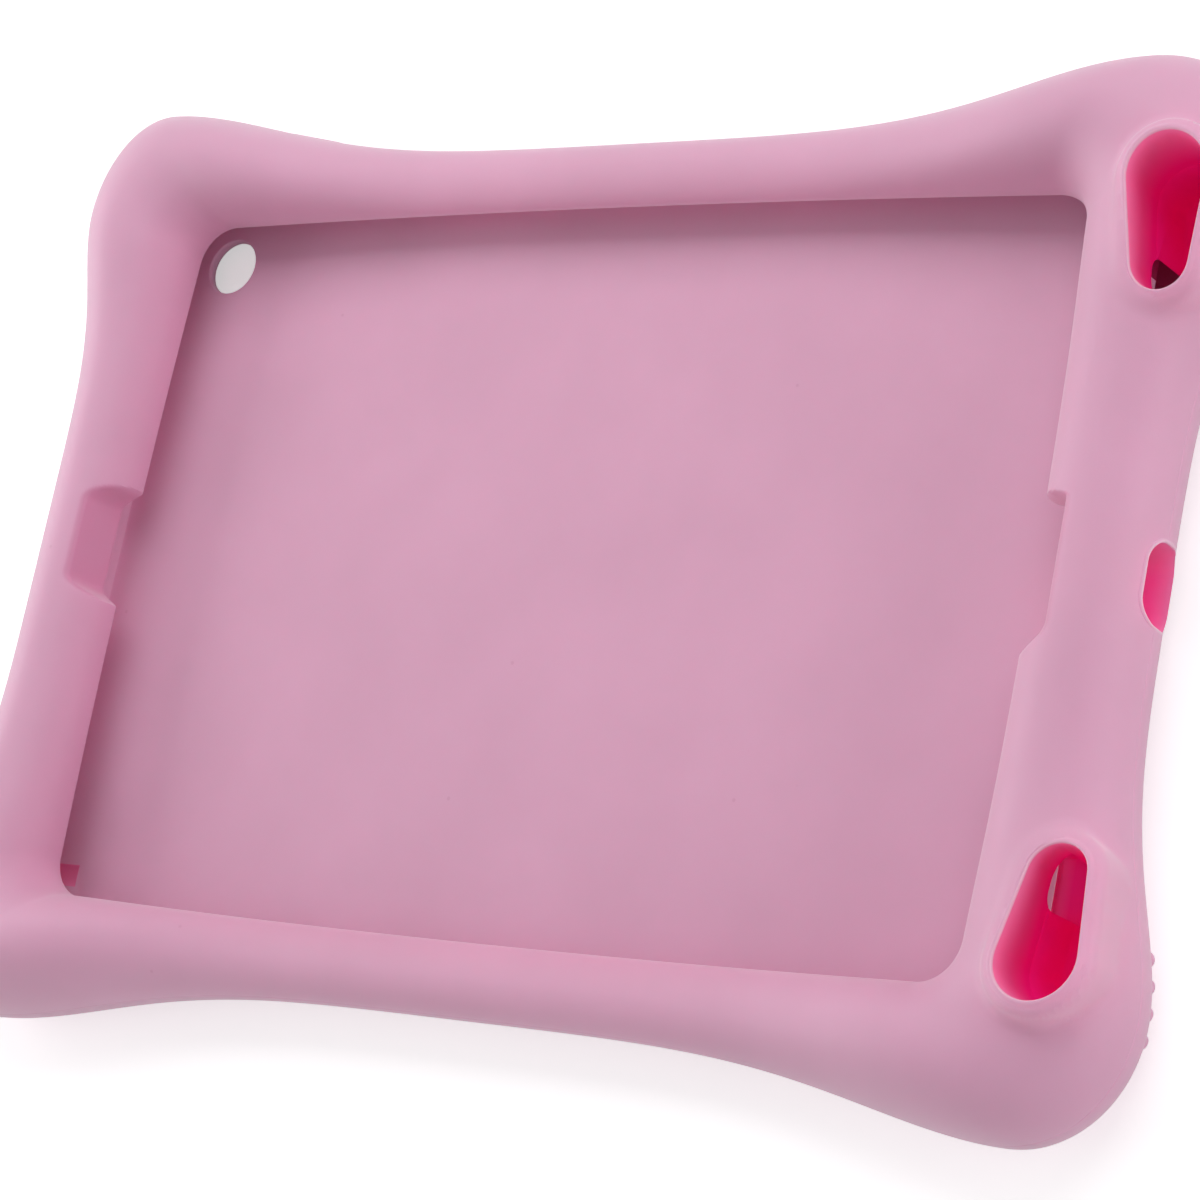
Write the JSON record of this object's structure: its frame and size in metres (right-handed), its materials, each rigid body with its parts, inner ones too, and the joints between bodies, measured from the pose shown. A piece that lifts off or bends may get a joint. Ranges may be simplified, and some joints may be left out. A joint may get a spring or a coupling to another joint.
{
  "type": "tablet case",
  "caption": "Padded one-piece silicone rubber tablet case: open front window, thick rounded rim with swollen corners, sound wells, port, camera and headphone holes.",
  "frame": {"origin": "middle of the footprint, on the surface the case lies on, back down", "axes": "+X towards the end with the charging port and the sound wells, +Y towards the long side with the volume pad, +Z out of the open front"},
  "size_m": [0.296, 0.2154, 0.0334],
  "materials": {
    "pink_silicone": "matte"
  },
  "bodies": {
    "root": {"case_body": "pink_silicone"}
  },
  "joints": []
}
